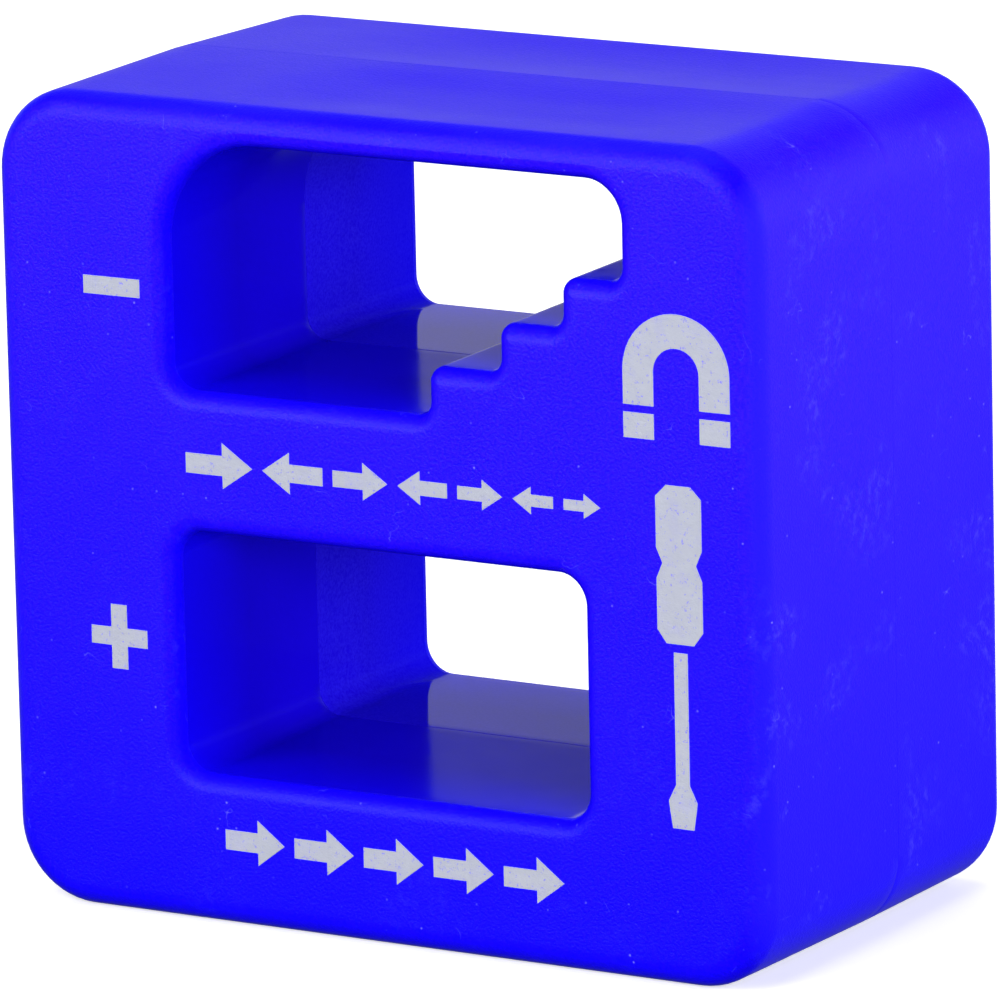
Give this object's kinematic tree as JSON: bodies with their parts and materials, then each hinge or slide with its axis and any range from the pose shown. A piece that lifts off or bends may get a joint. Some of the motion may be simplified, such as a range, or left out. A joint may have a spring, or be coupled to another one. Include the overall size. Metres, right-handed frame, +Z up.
{
  "type": "tool magnetizer and demagnetizer block",
  "caption": "Moulded plastic block with a plain window that magnetises a tool's shaft and a stepped window that demagnetises it.",
  "frame": {"origin": "middle of the flat base, on the surface that the block stands on", "axes": "+X to the right seen from the front, along the width; the printed front face looks along -Y; +Z up from the base"},
  "size_m": [0.052, 0.0292, 0.0496],
  "materials": {
    "shell_plastic": "fine spark-eroded texture outside, polished inside the windows",
    "ferrite": "pressed and ground ceramic, matte",
    "ink": "thin pad-printed ink, slightly worn"
  },
  "bodies": {
    "root": {"front_shell": "shell_plastic", "rear_shell": "shell_plastic", "upper_magnet": "ferrite", "lower_magnet": "ferrite", "minus_mark": "ink", "plus_mark": "ink", "demagnetise_mark": "ink", "magnetise_mark": "ink", "tool_mark": "ink"}
  },
  "joints": []
}
